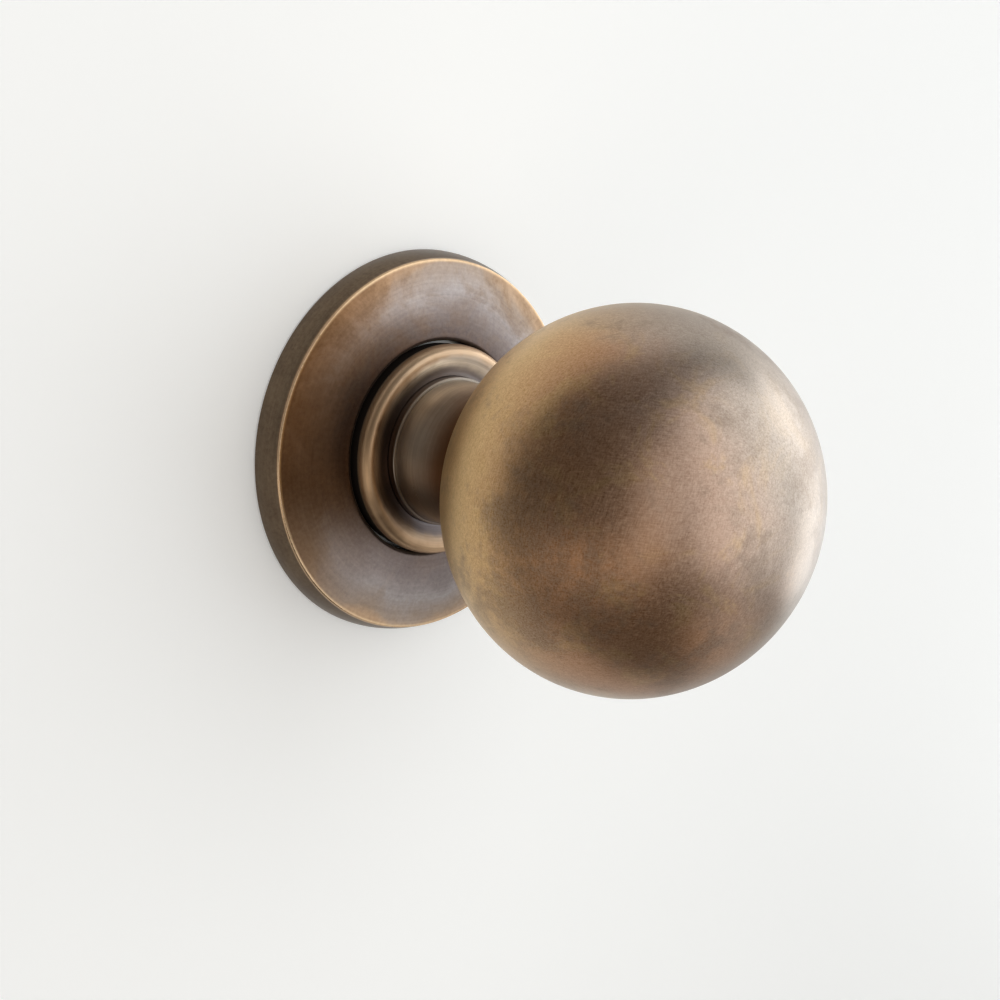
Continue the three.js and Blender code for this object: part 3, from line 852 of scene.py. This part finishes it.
def square_spindle():
    """The square bar: long edges rounded, ends chamfered, saw-cut notches near its tail."""
    tail, tip = rear("spindle"), front("spindle")
    side = 2 * outer_radius("spindle")
    piece = block(side, tail, tip, side)
    piece.name = "square_spindle"
    bevel_edges(piece, 0.55 * MM, 4)
    notch = 0.5 * MM
    for i in range(3):
        height = tail + (8 + 8 * i) * MM
        for across in (-1, 1):
            edge = across * side / 2
            cut(piece, block(notch, height, height + notch, side + MM, edge, 0.0))
    smooth(piece)
    return piece


# ---- stage, light and camera -----------------------------------------------------------------

WALL_GLOW = 0.255
WALL_LEFT = -0.095
FLOOR_HEIGHT = -1.0
LENS = 57.6
CAMERA_PLACE = (-0.1748, -0.2004, 0.0211)
CAMERA_RIGHT = Vector((0.7148, -0.6758, 0.1800))
CAMERA_UP = Vector((-0.0564, 0.2008, 0.9780))


def pale_wall():
    """A painted door's plain surface behind the rosette, seen only from the room's side."""
    deselect()
    bpy.ops.mesh.primitive_plane_add(
        size=2.0, location=(1.0 + WALL_LEFT, 0.0002, 0.1), rotation=(math.pi / 2, 0, 0))
    wall = placed()
    wall.name = "pale_wall"
    tree = Finish("pale_paint")
    grain = tree.noise(700.0, 3.0, 0.5)
    x = tree.axes()[0]
    glow = tree.blend(x.between(-0.05, 0.2), (1.0, 0.99, 0.965), (0.62, 0.615, 0.60))
    tree.set(
        Base_Color=(0.84, 0.835, 0.815), Roughness=0.5,
        Emission_Color=glow, Emission_Strength=WALL_GLOW,
        Normal=tree.bump(grain, 0.05, 0.00003))
    behind = tree.node("ShaderNodeNewGeometry", {}, {}, "Backfacing")
    clear = tree.node("ShaderNodeBsdfTransparent", {}, {})
    seen = tree.nodes.new("ShaderNodeMixShader")
    tree.plug(seen.inputs[0], behind)
    tree.links.new(tree.shader.outputs[0], seen.inputs[1])
    tree.links.new(clear.socket, seen.inputs[2])
    tree.links.new(seen.outputs[0], tree.nodes["Material Output"].inputs["Surface"])
    wall.data.materials.append(tree.material)


def pale_backdrop():
    """A plain pale room all round, which lights nothing and shows in no reflection."""
    deselect()
    bpy.ops.mesh.primitive_uv_sphere_add(segments=64, ring_count=32, radius=5.0)
    room = bpy.context.object
    room.name = "pale_backdrop"
    tree = Finish("pale_backdrop")
    tree.set(
        Base_Color=(0.0, 0.0, 0.0), Roughness=1.0, Specular_IOR_Level=0.0,
        Emission_Color=(1.0, 0.995, 0.98), Emission_Strength=0.62)
    room.data.materials.append(tree.material)
    room.visible_diffuse = False
    room.visible_glossy = False
    room.visible_transmission = False
    room.visible_shadow = False


def pale_floor():
    """A plain floor, which shows in no reflection."""
    deselect()
    bpy.ops.mesh.primitive_plane_add(size=20.0, location=(0, 0, FLOOR_HEIGHT))
    floor = placed()
    floor.name = "pale_floor"
    tree = Finish("pale_floor")
    tree.set(
        Base_Color=(0.72, 0.71, 0.69), Roughness=0.7,
        Emission_Color=(1.0, 0.995, 0.98), Emission_Strength=0.4)
    floor.data.materials.append(tree.material)
    floor.visible_glossy = False
    floor.visible_diffuse = False


def softbox(name, direction, distance, width, height, radiance, colour):
    """An area light that faces the knob; radiance is what a mirror of it would show."""
    azimuth, elevation = (math.radians(a) for a in direction)
    towards = Vector((
        math.sin(azimuth) * math.cos(elevation),
        -math.cos(azimuth) * math.cos(elevation),
        math.sin(elevation)))
    light = bpy.data.lights.new(name, "AREA")
    light.shape = "RECTANGLE"
    light.size, light.size_y = width, height
    light.energy = radiance * math.pi * width * height
    light.color = colour
    holder = bpy.data.objects.new(name, light)
    bpy.context.scene.collection.objects.link(holder)
    holder.location = towards * distance
    holder.rotation_mode = "QUATERNION"
    holder.rotation_quaternion = towards.to_track_quat("Z", "Y")


def camera():
    """Seen from the left of the knob and a little above, rolled as a hand-held camera."""
    data = bpy.data.cameras.new("camera")
    data.lens = LENS
    data.sensor_width = 36.0
    data.clip_start = 0.01
    holder = bpy.data.objects.new("camera", data)
    bpy.context.scene.collection.objects.link(holder)
    right = CAMERA_RIGHT.normalized()
    up = (CAMERA_UP - right * CAMERA_UP.dot(right)).normalized()
    back = right.cross(up)
    turned = Matrix((right, up, back)).transposed()
    holder.matrix_world = Matrix.Translation(CAMERA_PLACE) @ turned.to_4x4()
    bpy.context.scene.camera = holder


def room_light():
    """A dim even room, so that nothing falls to black."""
    world = bpy.data.worlds.new("room")
    bpy.context.scene.world = world
    world.use_nodes = True
    glow = world.node_tree.nodes["Background"]
    glow.inputs["Color"].default_value = (1.0, 0.96, 0.92, 1.0)
    glow.inputs["Strength"].default_value = 0.12


camera()
room_light()
pale_wall()
pale_floor()
pale_backdrop()
softbox("window", (86, 12), 1.3, 1.1, 1.5, 2.5, (0.93, 0.97, 1.0))
softbox("front_fill", (24, 20), 1.3, 1.5, 2.4, 1.4, (0.95, 0.98, 1.0))
softbox("left_fill", (-26, 4), 1.3, 0.5, 1.5, 0.9, (1.0, 0.97, 0.93))
softbox("low_fill", (58, -40), 1.4, 1.3, 0.6, 0.6, (1.0, 0.98, 0.95))
softbox("low_bounce", (-66, -36), 1.2, 1.55, 0.55, 0.7, (1.0, 0.93, 0.84))
softbox("rear_fill", (160, 28), 1.3, 1.5, 1.0, 1.2, (1.0, 0.98, 0.96))

zinc = zinc_steel()
black = black_steel()
bearing = machined_brass()

finish(rosette(), "rose_side", rosette_brass(), "rosette")
finish(collar(), "knob", collar_brass(), "collar")
finish(neck(), "knob", neck_brass(), "neck")
finish(ball(), "knob", ball_brass(), "ball")
finish(plate(), "rose_side", zinc, "mounting_plate")
finish(housing(), "rose_side", zinc, "spring_housing")
finish(square_spindle(), "knob", zinc, "spindle")
for bolt in THROUGH_BOLTS:
    finish(through_bolt(bolt), "rose_side", zinc, bolt)
for screw in EAR_SCREWS:
    finish(ear_screw(screw), "rose_side", zinc, screw)

CAD_FINISHES = {
    "rose_clip_1": zinc, "rose_clip_2": zinc, "rose_clip_3": zinc,
    "clip_rivet_1": zinc, "clip_rivet_2": zinc, "clip_rivet_3": zinc,
    "anchor_post": zinc, "stop_pin_left": zinc, "stop_pin_right": zinc,
    "drive_pin": zinc, "wave_washer": zinc,
    "return_spring": black, "circlip": black, "set_screw": black,
    "bush": bearing, "cam": bearing, "thrust_washer": natural_nylon(),
}
for node, material in CAD_FINISHES.items():
    dress(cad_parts[node], material)

bpy.context.scene.view_settings.view_transform = "Standard"
